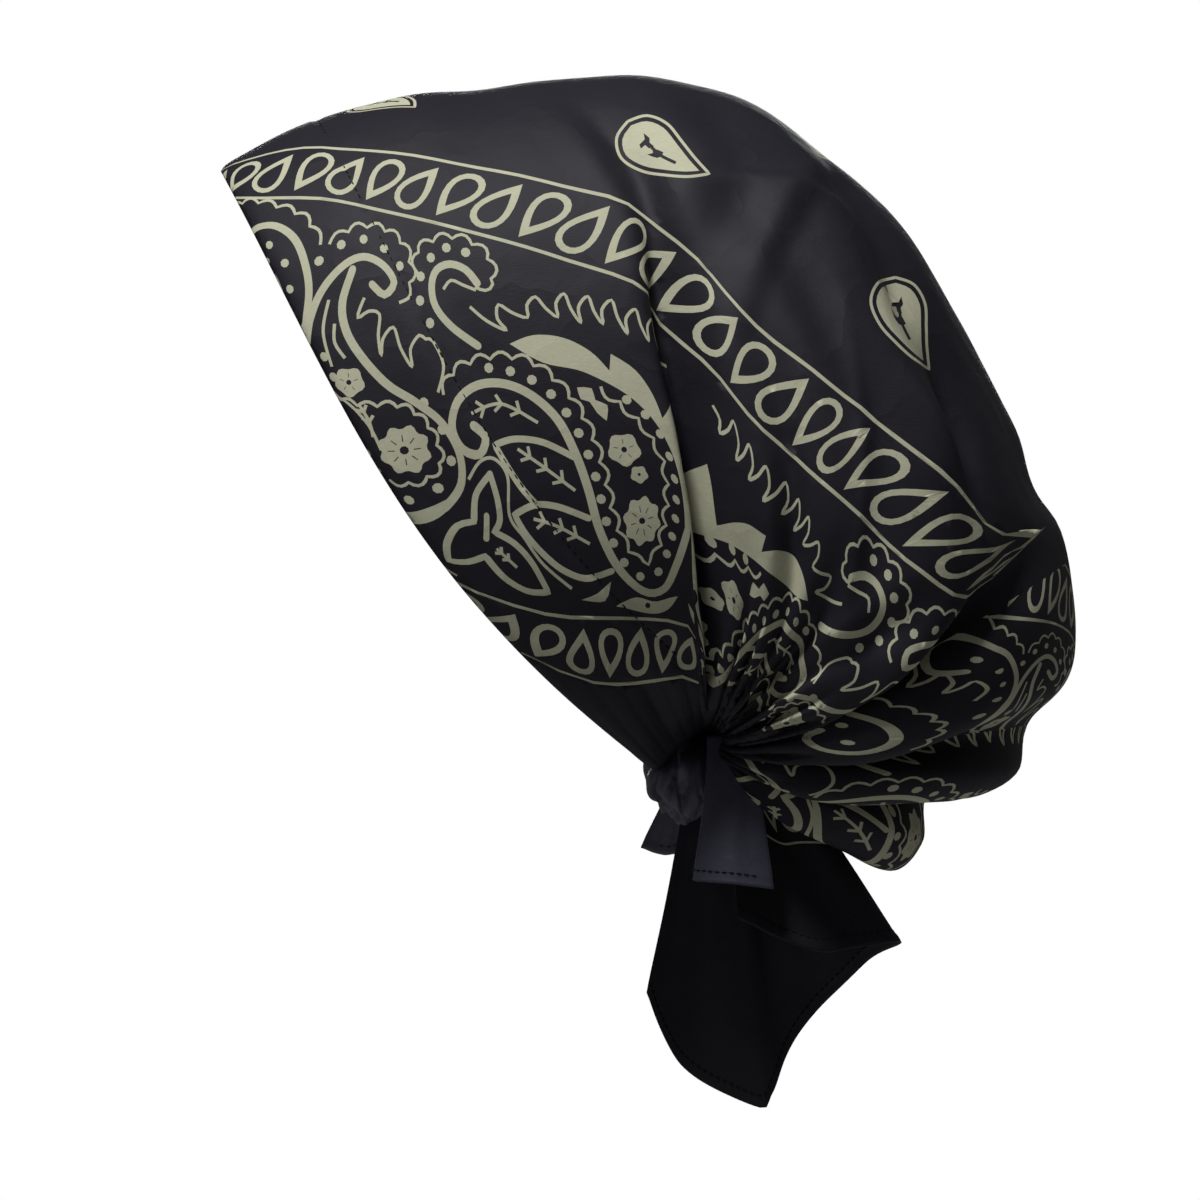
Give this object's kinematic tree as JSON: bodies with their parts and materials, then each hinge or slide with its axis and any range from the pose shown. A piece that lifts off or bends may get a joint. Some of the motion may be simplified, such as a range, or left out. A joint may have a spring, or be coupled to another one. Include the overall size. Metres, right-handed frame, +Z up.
{
  "type": "pre-tied headscarf",
  "caption": "Square cloth headscarf, turned under at the brow and gathered at the nape into a sewn knot with a slouching bag above it and hanging ends below.",
  "frame": {"origin": "the point where the inside of the crown rests on the top of the wearer's head", "axes": "+Z up, the wearer faces -Y, +X is the wearer's left"},
  "size_m": [0.1815, 0.2499, 0.3011],
  "materials": {
    "printed_cloth": "matt fine cotton, near black, with a sage-olive paisley border print",
    "tie_satin": "soft satin, blue-black"
  },
  "bodies": {
    "root": {"crown_cloth": "printed_cloth", "front_hem": "printed_cloth", "nape_knot": "tie_satin", "corner_tail": "printed_cloth", "left_tie_end": "tie_satin", "right_tie_end": "tie_satin"}
  },
  "joints": []
}
